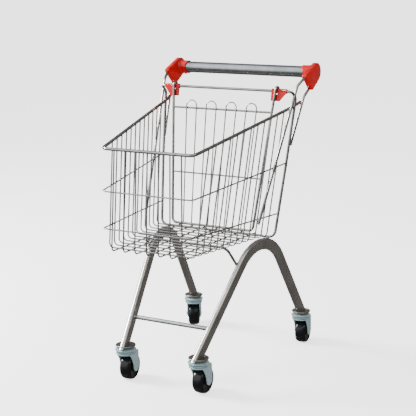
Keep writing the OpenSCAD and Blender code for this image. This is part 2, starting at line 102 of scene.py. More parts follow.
def add_node(
    tree: bpy.types.NodeTree,
    kind: str,
    inputs: dict[str | int, object] | None = None,
    **settings: object,
) -> bpy.types.Node:
    """Adds one node to a tree.

    Args:
        tree: Tree that takes the node.
        kind: Blender's name of the node type.
        inputs: Sockets by name or number, each with a constant or an output to link.
        **settings: Properties of the node.

    Returns:
        The new node.
    """
    node = tree.nodes.new(kind)
    for name, value in settings.items():
        setattr(node, name, value)
    for socket, value in (inputs or {}).items():
        if isinstance(value, bpy.types.NodeSocket):
            tree.links.new(value, node.inputs[socket])
        else:
            node.inputs[socket].default_value = value
    return node


def add_ramp(
    tree: bpy.types.NodeTree,
    factor: bpy.types.NodeSocket,
    stops: Sequence[tuple[float, str]],
) -> bpy.types.NodeSocket:
    """Adds a colour ramp.

    Args:
        tree: Tree that takes the ramp.
        factor: Output that drives it.
        stops: Positions and hex colours.

    Returns:
        The ramp's colour output.
    """
    node = add_node(tree, "ShaderNodeValToRGB", {"Fac": factor})
    ramp = node.color_ramp
    while len(ramp.elements) < len(stops):
        ramp.elements.new(0.5)
    for element, (position, colour) in zip(ramp.elements, stops):
        element.position = position
        element.color = linear(colour)
    return node.outputs["Color"]


@dataclass(frozen=True)
class MetalFinish:
    """A plated or ground steel surface: patches of tone, fine grain and a little relief."""

    name: str
    tones: tuple[str, str, str]
    roughness: tuple[float, float]
    patch_mm: float
    grain_mm: float
    brushing: tuple[float, float, float]
    relief_mm: float
    metallic: float = 1.0
    spots: str = "#6b6660"

    def material(self) -> bpy.types.Material:
        """Builds the node material.

        Returns:
            The material, ready for a piece's slot.
        """
        made = bpy.data.materials.new(self.name)
        made.use_nodes = True
        tree = made.node_tree
        tree.nodes.clear()
        place = add_node(tree, "ShaderNodeTexCoord").outputs["Object"]
        patches = add_node(
            tree,
            "ShaderNodeTexNoise",
            {"Vector": place, "Scale": per_mm(self.patch_mm), "Detail": 4.0, "Roughness": 0.6},
        )
        lay = add_node(
            tree, "ShaderNodeMapping", {"Vector": place, "Scale": self.brushing}
        )
        grain = add_node(
            tree,
            "ShaderNodeTexNoise",
            {
                "Vector": lay.outputs["Vector"],
                "Scale": per_mm(self.grain_mm),
                "Detail": 6.0,
                "Roughness": 0.7,
            },
        )
        tone = add_ramp(
            tree,
            patches.outputs["Fac"],
            [(0.3, self.tones[0]), (0.52, self.tones[1]), (0.72, self.tones[2])],
        )
        speck = add_node(
            tree,
            "ShaderNodeTexVoronoi",
            {"Vector": place, "Scale": per_mm(self.grain_mm * 6), "Randomness": 1.0},
        )
        wear = add_node(
            tree,
            "ShaderNodeMapRange",
            {
                "Value": speck.outputs["Distance"],
                "From Min": 0.02,
                "From Max": 0.12,
                "To Min": 0.35,
                "To Max": 0.0,
            },
        )
        colour = add_node(
            tree,
            "ShaderNodeMix",
            {0: wear.outputs["Result"], 6: tone, 7: linear(self.spots)},
            data_type="RGBA",
        )
        rough = add_node(
            tree,
            "ShaderNodeMapRange",
            {
                "Value": grain.outputs["Fac"],
                "From Min": 0.3,
                "From Max": 0.7,
                "To Min": self.roughness[0],
                "To Max": self.roughness[1],
            },
        )
        relief = add_node(
            tree,
            "ShaderNodeBump",
            {
                "Height": grain.outputs["Fac"],
                "Strength": 0.35,
                "Distance": self.relief_mm * MM,
            },
        )
        shader = add_node(
            tree,
            "ShaderNodeBsdfPrincipled",
            {
                "Base Color": colour.outputs[2],
                "Metallic": self.metallic,
                "Roughness": rough.outputs["Result"],
                "Normal": relief.outputs["Normal"],
            },
        )
        add_node(
            tree, "ShaderNodeOutputMaterial", {"Surface": shader.outputs["BSDF"]}
        )
        return made


@dataclass(frozen=True)
class MouldedFinish:
    """A moulded plastic or rubber surface: flow marks, a fine mould texture and scuffs."""

    name: str
    tones: tuple[str, str, str]
    roughness: tuple[float, float]
    flow_mm: float
    grain_mm: float
    relief_mm: float
    ior: float = 1.5
    coat: float = 0.0
    scuff: str = "#8a8580"

    def material(self) -> bpy.types.Material:
        """Builds the node material.

        Returns:
            The material, ready for a piece's slot.
        """
        made = bpy.data.materials.new(self.name)
        made.use_nodes = True
        tree = made.node_tree
        tree.nodes.clear()
        place = add_node(tree, "ShaderNodeTexCoord").outputs["Object"]
        flow = add_node(
            tree,
            "ShaderNodeTexNoise",
            {
                "Vector": place,
                "Scale": per_mm(self.flow_mm),
                "Detail": 3.0,
                "Distortion": 1.2,
            },
        )
        grain = add_node(
            tree,
            "ShaderNodeTexNoise",
            {"Vector": place, "Scale": per_mm(self.grain_mm), "Detail": 5.0},
        )
        tone = add_ramp(
            tree,
            flow.outputs["Fac"],
            [(0.3, self.tones[0]), (0.5, self.tones[1]), (0.75, self.tones[2])],
        )
        scratches = add_node(
            tree,
            "ShaderNodeTexNoise",
            {
                "Vector": add_node(
                    tree,
                    "ShaderNodeMapping",
                    {"Vector": place, "Scale": (1.0, 6.0, 6.0)},
                ).outputs["Vector"],
                "Scale": per_mm(self.grain_mm * 12),
                "Detail": 8.0,
                "Roughness": 0.8,
            },
        )
        scuffed = add_node(
            tree,
            "ShaderNodeMapRange",
            {
                "Value": scratches.outputs["Fac"],
                "From Min": 0.66,
                "From Max": 0.78,
                "To Min": 0.0,
                "To Max": 0.25,
            },
        )
        colour = add_node(
            tree,
            "ShaderNodeMix",
            {0: scuffed.outputs["Result"], 6: tone, 7: linear(self.scuff)},
            data_type="RGBA",
        )
        rough = add_node(
            tree,
            "ShaderNodeMapRange",
            {
                "Value": grain.outputs["Fac"],
                "From Min": 0.3,
                "From Max": 0.7,
                "To Min": self.roughness[0],
                "To Max": self.roughness[1],
            },
        )
        relief = add_node(
            tree,
            "ShaderNodeBump",
            {
                "Height": grain.outputs["Fac"],
                "Strength": 0.3,
                "Distance": self.relief_mm * MM,
            },
        )
        shader = add_node(
            tree,
            "ShaderNodeBsdfPrincipled",
            {
                "Base Color": colour.outputs[2],
                "Roughness": rough.outputs["Result"],
                "IOR": self.ior,
                "Coat Weight": self.coat,
                "Coat Roughness": 0.08,
                "Normal": relief.outputs["Normal"],
            },
        )
        add_node(
            tree, "ShaderNodeOutputMaterial", {"Surface": shader.outputs["BSDF"]}
        )
        return made


# Bright zinc and chrome plate on drawn wire: mirror-like, with faint draw marks and dull spots.
PLATED_WIRE = MetalFinish(
    "bright_plated_wire", ("#8f8d8a", "#a8a6a4", "#bebdbc"), (0.1, 0.2), 18, 0.5,
    (1, 1, 1), 0.02,
)
# Satin chrome tube, ground round its girth: a soft, wide highlight.
SATIN_TUBE = MetalFinish(
    "satin_chrome_tube", ("#8e9092", "#a0a2a4", "#b1b3b5"), (0.16, 0.24), 30, 0.5,
    (6, 1, 1), 0.015,
)
# Half-gloss plate over a drawn oval tube, with long draw lines.
LEG_TUBE = MetalFinish(
    "plated_oval_tube", ("#a6a7a7", "#b9babb", "#c9cbcd"), (0.18, 0.3), 40, 0.6,
    (5, 1, 1), 0.02,
)
# Blue-passivated zinc on pressed steel: bluish, with a cloudy film that scatters light, which
# is why it is drawn partly non-metallic.
BLUE_ZINC = MetalFinish(
    "blue_passivated_zinc", ("#a9c6ce", "#bdd8de", "#d0e6ea"), (0.2, 0.32), 5, 0.4,
    (1, 1, 1), 0.03, 0.45,
)
# Dull zinc on the bumper dishes, handled and greyish.
DULL_ZINC = MetalFinish(
    "dull_zinc_dish", ("#8d8882", "#a19d98", "#b4b1ad"), (0.25, 0.4), 6, 0.4, (1, 1, 1), 0.03,
)
# Ground steel of balls and bushes.
GROUND_STEEL = MetalFinish(
    "ground_steel", ("#a6a6a8", "#bcbcbe", "#cfcfd0"), (0.12, 0.22), 4, 0.3, (1, 1, 1), 0.01,
)
# Glossy injection-moulded ABS, saturated red.
RED_ABS = MouldedFinish(
    "red_moulded_abs", ("#b40000", "#cc0000", "#e00000"), (0.12, 0.2), 14, 0.5, 0.03,
    1.45, 0.0, "#d02a24",
)
# Black moulded nylon plug, dull.
BLACK_NYLON = MouldedFinish(
    "black_nylon", ("#0c0c0d", "#121213", "#1a1a1b"), (0.5, 0.65), 8, 0.5, 0.04, 1.53, 0.0,
    "#3a3a3a",
)
# Hard glossy moulded wheel: nearly black, with a soft highlight and faint scuffs.
WHEEL_POLYMER = MouldedFinish(
    "hard_black_wheel", ("#050506", "#08070a", "#0d0c0f"), (0.14, 0.22), 9, 0.5, 0.03, 1.45,
    0.0, "#2c2a2c",
)


# ---------------------------------------------------------------- mesh work


@dataclass
class Mount:
    """Where a finished piece belongs: name, body, record slot and the nodes it replaces."""

    name: str
    body: str
    slot: str
    nodes: tuple[str, ...] = ()


class Workpiece:
    """A mesh being made, in millimetres."""

    def __init__(self) -> None:
        """Starts an empty mesh."""
        self.bm = bmesh.new()

    def oval(self, depth: float, width: float, segments: int) -> list[BMVert]:
        """Draws a flat oval round the origin, or a circle if depth equals width.

        Args:
            depth: Size along X.
            width: Size along Y.
            segments: Number of sides, a multiple of four.

        Returns:
            The vertices of the outline.
        """
        turn = Matrix.Rotation(math.pi / segments, 4, "Z")
        verts = bmesh.ops.create_circle(
            self.bm, radius=width / 2, segments=segments, matrix=turn
        )["verts"]
        for way in (-1, 1):
            half = [v for v in verts if v.co.x * way > 0]
            bmesh.ops.translate(self.bm, verts=half, vec=(way * (depth - width) / 2, 0, 0))
        return verts

    def sweep(
        self,
        section: list[BMVert],
        path: Sequence[Vector],
        radii: Sequence[float] = (),
        depth: Vector | None = None,
        ease: float = 0.0,
    ) -> None:
        """Runs a section along a path with round bends, and closes both ends.

        Args:
            section: Outline round the origin in the XY plane.
            path: Corner points.
            radii: Radius of each inner corner.
            depth: Direction that the section's X axis takes.
            ease: Rounding of the two ends.
        """
        along = (path[1] - path[0]).normalized()
        x = depth if depth is not None else along.orthogonal()
        x = (x - along * x.dot(along)).normalized()
        turn = Matrix((x, along.cross(x), along)).transposed().to_4x4()
        bmesh.ops.transform(
            self.bm, matrix=Matrix.Translation(path[0]) @ turn, verts=section
        )
        loop = list({e for v in section for e in v.link_edges})
        first, at = loop, path[0]
        for i in range(1, len(path)):
            back, inner = 0.0, i < len(path) - 1
            if inner:
                before = (path[i - 1] - path[i]).normalized()
                after = (path[i + 1] - path[i]).normalized()
                half = before.angle(after) / 2
                back = radii[i - 1] / math.tan(half)
            step = (path[i] - at) - (path[i] - at).normalized() * back
            loop = self._extend(loop, step)
            if inner:
                centre = path[i] + (before + after).normalized() * radii[i - 1] / math.sin(half)
                angle = math.pi - 2 * half
                spun = bmesh.ops.spin(
                    self.bm,
                    geom=[*{v for e in loop for v in e.verts}, *loop],
                    cent=centre,
                    axis=after.cross(before).normalized(),
                    dvec=(0, 0, 0),
                    angle=angle,
                    space=Matrix.Identity(4),
                    steps=max(3, round(math.degrees(angle) / BEND_STEP)),
                    use_merge=False,
                    use_normal_flip=False,
                    use_duplicate=False,
                )
                loop = [g for g in spun["geom_last"] if isinstance(g, BMEdge)]
                at = path[i] + after * back
            else:
                at = path[i]
        for end in (first, loop):
            bmesh.ops.edgeloop_fill(self.bm, edges=end)
        if ease:
            bmesh.ops.bevel(
                self.bm, geom=[*first, *loop], offset=ease, affect="EDGES", segments=3,
                profile=0.5, material=-1,
            )

    def _extend(self, loop: list[BMEdge], step: Vector) -> list[BMEdge]:
        """Extrudes a loop of edges by a straight step.

        Args:
            loop: Closed loop of edges.
            step: Direction and length of the step.

        Returns:
            The loop at the far end.
        """
        made = bmesh.ops.extrude_edge_only(self.bm, edges=loop)["geom"]
        verts = [g for g in made if isinstance(g, BMVert)]
        bmesh.ops.translate(self.bm, verts=verts, vec=step)
        fresh = set(verts)
        return [g for g in made if isinstance(g, BMEdge) and fresh.issuperset(g.verts)]

    def rod(
        self,
        path: Sequence[Vector],
        radii: Sequence[float],
        d: float,
        sides: int = 12,
        ease: float = 0.0,
    ) -> None:
        """Adds a bent round rod.

        Args:
            path: Corner points of its middle line.
            radii: Radius of each inner corner.
            d: Diameter.
            sides: Number of sides of its section.
            ease: Rounding of the two ends.
        """
        self.sweep(self.oval(d, d, sides), path, radii, ease=ease)

    def turned(
        self, profile: Iterable[tuple[float, float]], closed: bool, steps: int
    ) -> list[BMVert]:
        """Spins a profile of radius and height round the Z axis.

        Args:
            profile: Points of radius and height.
            closed: Joins the last point to the first.
            steps: Number of steps round.

        Returns:
            All vertices of the turned shape.
        """
        before = set(self.bm.verts)
        verts = [self.bm.verts.new((r, 0, z)) for r, z in profile]
        pairs = list(zip(verts, verts[1:]))
        if closed:
            pairs.append((verts[-1], verts[0]))
        edges = [self.bm.edges.new(p) for p in pairs]
        bmesh.ops.spin(
            self.bm, geom=[*verts, *edges], cent=(0, 0, 0), axis=(0, 0, 1), dvec=(0, 0, 0),
            angle=2 * math.pi, space=Matrix.Identity(4), steps=steps, use_merge=True,
            use_normal_flip=False, use_duplicate=False,
        )
        made = [v for v in self.bm.verts if v not in before]
        bmesh.ops.remove_doubles(self.bm, verts=made, dist=0.001)
        return [v for v in self.bm.verts if v not in before]

    def plate(
        self, outline: Sequence[Vector], thick: Vector, ease: float, steps: int = 3
    ) -> list[BMVert]:
        """Extrudes a flat outline and rounds its edges.

        Args:
            outline: Corner points of one face.
            thick: Direction and amount of the extrusion.
            ease: Radius of the rounded edges.
            steps: Segments of the rounding.

        Returns:
            All vertices of the plate.
        """
        before = set(self.bm.verts)
        face = self.bm.faces.new([self.bm.verts.new(p) for p in outline])
        grown = bmesh.ops.extrude_face_region(self.bm, geom=[face])["geom"]
        top = [g for g in grown if isinstance(g, BMFace)][0]
        bmesh.ops.translate(self.bm, verts=list(top.verts), vec=thick)
        bmesh.ops.bevel(
            self.bm, geom=[*face.edges, *top.edges], offset=ease, affect="EDGES",
            segments=steps, profile=0.5, material=-1, clamp_overlap=True,
        )
        return [v for v in self.bm.verts if v not in before]

    def place(self, verts: Iterable[BMVert], matrix: Matrix) -> None:
        """Moves vertices.

        Args:
            verts: Vertices to move.
            matrix: Their motion.
        """
        bmesh.ops.transform(self.bm, matrix=matrix, verts=list(verts))

    def finish(
        self, mount: Mount, material: bpy.types.Material, sharp: float = 35.0
    ) -> bpy.types.Object:
        """Closes the work: outward normals, metres, material, and its place on the frame.

        Args:
            mount: Name, body, slot and replaced nodes.
            material: Finish of the piece.
            sharp: Edges steeper than this many degrees stay sharp.

        Returns:
            The new object.
        """
        bm = self.bm
        bmesh.ops.remove_doubles(bm, verts=bm.verts, dist=0.002)
        bmesh.ops.recalc_face_normals(bm, faces=bm.faces)
        bmesh.ops.scale(bm, vec=(MM, MM, MM), verts=bm.verts)
        mesh = bpy.data.meshes.new(mount.name)
        bm.to_mesh(mesh)
        bm.free()
        mesh.shade_smooth()
        mesh.set_sharp_from_angle(angle=math.radians(sharp))
        mesh.materials.append(material)
        piece = bpy.data.objects.new(mount.name, mesh)
        bpy.context.scene.collection.objects.link(piece)
        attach(piece, mount.body)
        if mount.nodes:
            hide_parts(*mount.nodes)
        log.info("%s: %d faces on %s", mount.name, len(mesh.polygons), mount.body)
        return piece


def eased_copy(
    node: str, mount: Mount, material: bpy.types.Material, ease: float, steps: int = 2
) -> bpy.types.Object:
    """Copies a CAD node's shape and rounds its sharp edges.

    Args:
        node: CAD node to copy.
        mount: Name, body, slot and replaced nodes.
        material: Finish of the piece.
        ease: Radius of the rounding in millimetres.
        steps: Segments of the rounding.

    Returns:
        The new object.
    """
    work = Workpiece()
    bm = work.bm
    bm.from_mesh(frame["nodes"][node].data)
    bmesh.ops.scale(bm, vec=(1 / MM,) * 3, verts=bm.verts)
    bmesh.ops.remove_doubles(bm, verts=bm.verts, dist=0.004)
    bmesh.ops.dissolve_limit(
        bm, angle_limit=math.radians(0.6), verts=bm.verts, edges=bm.edges,
        use_dissolve_boundaries=False,
    )
    steep = [
        e for e in bm.edges
        if len(e.link_faces) == 2 and e.calc_face_angle(0.0) > STEEP
    ]
    bmesh.ops.bevel(
        bm, geom=steep, offset=ease, affect="EDGES", segments=steps, profile=0.5,
        material=-1, clamp_overlap=True,
    )
    return work.finish(mount, material)


def on_side(side: Side, x: float, y: float, z: float) -> Vector:
    """Puts a point given for the right side on a side.

    Args:
        side: Side that it is wanted on.
        x: Distance from the middle.
        y: Place along the cart.
        z: Height.

    Returns:
        The point.
    """
    return Vector((side.value * x, y, z))


def across(points: Sequence[Vector]) -> list[Vector]:
    """Joins a run given for the right side to its mirror image.

    Args:
        points: Run on the right side, from the middle outwards.

    Returns:
        The whole run, left end first.
    """
    return [Vector((-p.x, p.y, p.z)) for p in reversed(points)] + list(points)


def arc(
    centre: tuple[float, float], r: float, start: float, stop: float, steps: int
) -> list[tuple[float, float]]:
    """Draws an arc.

    Args:
        centre: Its centre.
        r: Its radius.
        start: First angle in degrees.
        stop: Last angle in degrees.
        steps: Number of chords.

    Returns:
        Its points.
    """
    turns = [math.radians(start + (stop - start) * i / steps) for i in range(steps + 1)]
    return [(centre[0] + r * math.cos(t), centre[1] + r * math.sin(t)) for t in turns]


# ---------------------------------------------------------------- basket


@dataclass
class Basket:
    """Wire basket: rim, two belts, upright wires that run on under the floor."""

    rim_d: float = 6.0
    wire_d: float = 2.7
    belt_d: float = 2.8
    front_half: float = 91.0
    front_y: float = -213.4
    front_z: float = 442.0
    widening: float = 0.15
    rise: float = 0.176
    taper: float = 0.03
    floor_z: float = 259.5
    floor_drop: float = 0.0155
    lean: float = 0.037
    side_count: int = 12
    front_count: int = 7
    pitch: float = 22.4
    bend_r: float = 9.0
    tops_y: tuple[float, float] = (-170.1, 62.4)
    feet_y: tuple[float, float] = (-200.6, 19.9)
    rear_y: float = 94.9
    rim_end: tuple[float, float] = (141.5, 117.9)
    floor_end_y: float = 48.6
    inset: float = 1.5
    splay: tuple[float, float] = (1.06, 1.22)

    def rim_x(self, y: float) -> float:
        """Returns half the rim's width at y."""
        return self.front_half + self.widening * (y - self.front_y)

    def rim_z(self, y: float) -> float:
        """Returns the rim's height at y."""
        return self.front_z + self.rise * (y - self.front_y)

    def wall_x(self, y: float, z: float) -> float:
        """Returns half the basket's width at y and z."""
        return self.rim_x(y) - self.taper * (self.rim_z(y) - z)

    def floor_at(self, y: float) -> float:
        """Returns the height of the lengthwise floor wires at y."""
        return self.floor_z - self.floor_drop * (y - self.front_y)

    def wall_y(self, z: float) -> float:
        """Returns the place of the front wires at height z."""
        return self.front_y + self.inset - self.lean * (self.front_z - z)

    def belt(self, work: Workpiece, z: float, rise: float, end_y: float) -> None:
        """Adds one belt round the front and both sides.

        Args:
            work: Piece that takes it.
            z: Height at the front.
            rise: Climb towards the back.
            end_y: Place where it meets the rear frame.
        """
        out = (self.wire_d + self.belt_d) / 2 - WELD
        start_y = self.wall_y(z) - out
        end_z = z + rise * (end_y - start_y)
        corner = Vector((self.wall_x(start_y, z) + out, start_y, z))
        end = Vector((self.wall_x(end_y, end_z) + out, end_y, end_z))
        work.rod(across([corner, end]), [self.bend_r] * 2, self.belt_d)

    def build(self, wire: bpy.types.Material) -> None:
        """Builds the basket's pieces.

        Args:
            wire: Their finish.
        """
        work = Workpiece()
        corner = Vector((self.front_half, self.front_y, self.front_z))
        rear = Vector((self.rim_x(self.rear_y), self.rear_y, self.rim_z(self.rear_y)))
        end = Vector((*self.rim_end, self.rim_z(self.rim_end[1]) + 3))
        work.rod(across([corner, rear, end]), [40, 12, 12, 40], self.rim_d, 24, ease=0.8)
        work.finish(Mount("rim", "cart_frame", "plated_wire", ("basket_rim",)), wire)

        for name, node, z, rise, end_y in (
            ("middle_belt", "mid_belt", 366.5, 0.086, 71.9),
            ("lower_belt", "low_belt", 300.0, -0.009, 55.4),
        ):
            work = Workpiece()
            self.belt(work, z, rise, end_y)
            work.finish(Mount(name, "cart_frame", "plated_wire", (node,)), wire)

        work = Workpiece()
        for i in range(self.side_count):
            t = i / (self.side_count - 1)
            top_y = self.tops_y[0] + t * (self.tops_y[1] - self.tops_y[0])
            low_y = self.feet_y[0] + t * (self.feet_y[1] - self.feet_y[0])
            low_z = self.floor_at(low_y) + self.wire_d
            top = Vector((self.rim_x(top_y), top_y, self.rim_z(top_y) - self.inset))
            low = Vector((self.wall_x(low_y, low_z), low_y, low_z))
            work.rod(across([low, top]), [self.bend_r] * 2, self.wire_d)
        nodes = ("side_wires_left", "side_wires_right", "floor_cross_wires")
        work.finish(Mount("side_and_floor_wires", "cart_frame", "plated_wire", nodes), wire)

        work = Workpiece()
        for i in range(self.front_count):
            k = i - (self.front_count - 1) / 2
            low_y = self.wall_y(self.floor_z)
            x, end_y = k * self.pitch, self.floor_end_y
            top = Vector((x, self.front_y + self.inset, self.front_z - self.inset))
            low = Vector((x * self.splay[0], low_y, self.floor_at(low_y)))
            end = Vector((x * self.splay[1], end_y, self.floor_at(end_y)))
            work.rod([top, low, end], [self.bend_r], self.wire_d)
        nodes = ("front_wires", "floor_long_wires")
        work.finish(Mount("front_and_floor_wires", "cart_frame", "plated_wire", nodes), wire)


# ---------------------------------------------------------------- rear frame, gate


@dataclass
class RearFrame:
    """Closed rod loop behind the basket, with the four struts that carry the handle."""

    rod_d: float = 5.2
    rail: tuple[float, float] = (46.6, 251.7)

    def build(self, wire: bpy.types.Material) -> None:
        """Builds the loop and the struts.

        Args:
            wire: Their finish.
        """
        run = [
            Vector((123.5, *self.rail)), Vector((134, 72.6, 391)), Vector((141, 96.9, 512)),
            Vector((140.5, *HINGE)),
        ]
        mirror = [Vector((-p.x, p.y, p.z)) for p in reversed(run)]
        start = Vector((0.0, *self.rail))
        work = Workpiece()
        work.rod([start, *run, *mirror, start], [14, 160, 8, 8, 8, 8, 160, 14], self.rod_d, 20)
        work.finish(Mount("rear_loop", "cart_frame", "plated_wire", ("rear_frame",)), wire)
        runs = {
            "front_strut": ([(120.65, -19.1, 289), (144, 97.2, 535.5), (150, 119.4, 550)], 15),
            "rear_strut": ([(137.3, 83.2, 424), (145.9, 123.4, 512.5), (150, 148.4, 532)], 20),
        }
        for name, (points, bend) in runs.items():
            for side in Side:
                work = Workpiece()
                path = [on_side(side, *p) for p in points]
                work.rod(path, [bend], self.rod_d, 20, ease=0.8)
                node = f"{name}_{side.name.lower()}"
                work.finish(Mount(f"{node}_rod", "cart_frame", "plated_wire", (node,)), wire)


@dataclass
class Gate:
    """Swinging gate: a bent side rod, and thin wires bent in pairs to hairpins."""

    rod_d: float = 5.0
    wire_d: float = 2.4
    pitch: float = 21.7
    top_half: float = 110.0
    low_half: float = 87.0
    low_y: float = 25.9
    low_z: float = 264.0
    hook_r: float = 7.3
    upper_rail_z: float = 486.0
    upper_rail_d: float = 4.0
    middle_rail_z: float = 362.0
    middle_rail_d: float = 3.0
    loop_top_z: float = 501.2

    def share(self, z: float) -> float:
        """Returns how far up the gate a height is, from 0 to 1."""
        return (z - self.low_z) / (HINGE[1] + self.hook_r - self.low_z)

    def plane_y(self, z: float) -> float:
        """Returns the place of the gate's plane at height z."""
        return self.low_y + (HINGE[0] - 6 - self.low_y) * self.share(z)

    def half(self, z: float) -> float:
        """Returns half the gate's width at height z."""
        return self.low_half + (self.top_half - self.low_half) * self.share(z)

    def build(self, wire: bpy.types.Material) -> None:
        """Builds the side rod, the rails and the hairpins.

        Args:
            wire: Their finish.
        """
        y, z = HINGE
        top = z + self.hook_r
        run = [
            Vector((self.low_half, self.low_y, self.low_z)),
            Vector((self.top_half, y - 6, top)),
            Vector((self.top_half, y + self.hook_r, top)),
            Vector((self.top_half, y + self.hook_r, z + 0.2)),
        ]
        work = Workpiece()
        work.rod(across(run), [6.4, 5.9, 10, 10, 5.9, 6.4], self.rod_d, 20, ease=0.8)
        work.finish(Mount("gate_side_rod", "gate", "plated_wire", ("gate_frame",)), wire)
        for name, node, at, d in (
            ("gate_upper_rail", "gate_top_rail", self.upper_rail_z, self.upper_rail_d),
            ("gate_middle_rail", "gate_mid_rail", self.middle_rail_z, self.middle_rail_d),
        ):
            work = Workpiece()
            half = self.half(at)
            ends = [Vector((s * half, self.plane_y(at), at)) for s in (-1, 1)]
            work.rod(ends, [], d, 16)
            work.finish(Mount(name, "gate", "plated_wire", (node,)), wire)
        work = Workpiece()
        low_z, top_z = self.low_z + self.rod_d / 2 - 0.4, self.loop_top_z
        squeeze = self.low_half / self.half(self.upper_rail_z)
        forward = (self.upper_rail_d + self.wire_d) / 2 - WELD
        for k in (-3, -1, 1, 3):
            xs = [k * self.pitch + s * self.pitch / 2 for s in (-1, 1)]
            low = [Vector((x * squeeze, self.plane_y(low_z) - 1, low_z)) for x in xs]
            high = [Vector((x, self.plane_y(top_z) - forward, top_z)) for x in xs]
            r = self.pitch / 2 - 0.3
            work.rod([low[0], high[0], high[1], low[1]], [r, r], self.wire_d)
        work.finish(Mount("gate_hairpins", "gate", "plated_wire", ("gate_wires",)), wire)


# ---------------------------------------------------------------- handle


@dataclass
class Handle:
    """Handle tube in two moulded brackets."""

    y: float = 165.7
    z: float = 556.0
    tube_d: float = 22.0
    wall: float = 1.2
    half: float = 150.0
    plate_t: float = 10.0
    sleeve_end: float = 124.3
    scallop: float = 5.0
    crown_r: float = 18.0
    tip: tuple[float, float] = (146.9, 528.5)
    front_corner: tuple[float, float] = (118.9, 551.5)
    edge_r: float = 1.8

    def build(self, tube: bpy.types.Material, red: bpy.types.Material) -> None:
        """Builds the tube and both brackets.

        Args:
            tube: Finish of the tube.
            red: Finish of the brackets.
        """
        work = Workpiece()
        r, reach = self.tube_d / 2, self.half + 1
        ring = work.turned(
            [(r - self.wall, -reach), (r, -reach), (r, reach), (r - self.wall, reach)], True, 48
        )
        turn = Matrix.Translation((0, self.y, self.z)) @ Matrix.Rotation(math.pi / 2, 4, "Y")
        work.place(ring, turn)
        work.finish(Mount("handle_bar", "cart_frame", "satin_tube", ("handle_tube",)), tube)
        for side in Side:
            self._bracket(side, red)

    def _bracket(self, side: Side, red: bpy.types.Material) -> None:
        """Builds one bracket: a shield-shaped plate and the sleeve round the tube.

        Args:
            side: Side of the cart.
            red: Its finish.
        """
        s = side.value
        work = Workpiece()
        outline = [
            *arc((self.y + 2, self.z), self.crown_r, 112, -59, 16),
            *arc(self.tip, 5, -59, -131, 6),
            *arc(self.front_corner, 4, -131, -248, 6),
        ]
        inner = s * (self.half - self.plate_t / 2)
        work.plate(
            [Vector((inner, y, z)) for y, z in outline],
            Vector((s * self.plate_t, 0, 0)),
            self.edge_r,
            4,
        )
        r, bore = self.tube_d / 2 + 2, self.tube_d / 2 + 0.05
        length = self.half - self.plate_t / 2 - self.sleeve_end
        sleeve = work.turned(
            [
                (bore, 0.5), (bore + 0.4, 0), (r - 0.7, 0), (r, 0.9), (r, length * 0.55),
                (r + 0.5, length * 0.8), (r + 2.2, length + 1), (bore, length + 1),
            ],
            True, 64,
        )
        for v in sleeve:
            if v.co.z < length * 0.5:
                v.co.z += self.scallop * (v.co.y / v.co.xy.length) ** 2
        face = Matrix.Rotation(math.pi / 2 * s, 4, "Y")
        work.place(sleeve, Matrix.Translation((s * self.sleeve_end, self.y, self.z)) @ face)
        node = f"handle_bracket_{side.name.lower()}"
        work.finish(Mount(f"{node}_shell", "cart_frame", "red_plastic", (node,)), red)


# ---------------------------------------------------------------- legs


@dataclass
class Leg:
    """One bent flat-oval leg."""

    side: Side
    depth: float = 22.5
    width: float = 11.0
    bend_r: float = 84.0
    cut_z: float = 68.0
    front_foot: tuple[float, float, float] = (76.5, -174.6, 69)
    corner: tuple[float, float, float] = (108.4, 30.1, 292.1)
    rear_foot: tuple[float, float, float] = (124, 181.4, 69)
    spare: float = 14.0

    def build(self, tube: bpy.types.Material) -> None:
        """Sweeps the section through both straights and the bend, and cuts the feet level.

        Args:
            tube: Finish of the leg.
        """
        front = on_side(self.side, *self.front_foot)
        top = on_side(self.side, *self.corner)
        rear = on_side(self.side, *self.rear_foot)
        normal = (rear - top).cross(front - top).normalized()
        a = front - (top - front).normalized() * self.spare
        c = rear - (top - rear).normalized() * self.spare
        work = Workpiece()
        depth = normal.cross((top - a).normalized())
        work.sweep(work.oval(self.depth, self.width, 40), [a, top, c], [self.bend_r], depth)
        cut = bmesh.ops.bisect_plane(
            work.bm, geom=[*work.bm.verts, *work.bm.edges, *work.bm.faces],
            plane_co=(0, 0, self.cut_z), plane_no=(0, 0, -1), clear_outer=True,
        )["geom_cut"]
        rims = [g for g in cut if isinstance(g, BMEdge)]
        bmesh.ops.holes_fill(work.bm, edges=rims, sides=0)
        node = f"leg_{self.side.name.lower()}"
        work.finish(Mount(f"{node}_tube", "cart_frame", "leg_tube", (node,)), tube)


# ---------------------------------------------------------------- casters


# X and Y of the swivel axis on the right side, at each end
SWIVELS = {End.FRONT: (76.5, -169.4), End.REAR: (124.5, 179.6)}
DISH_R = 18.9
DISH_Z = 68.6


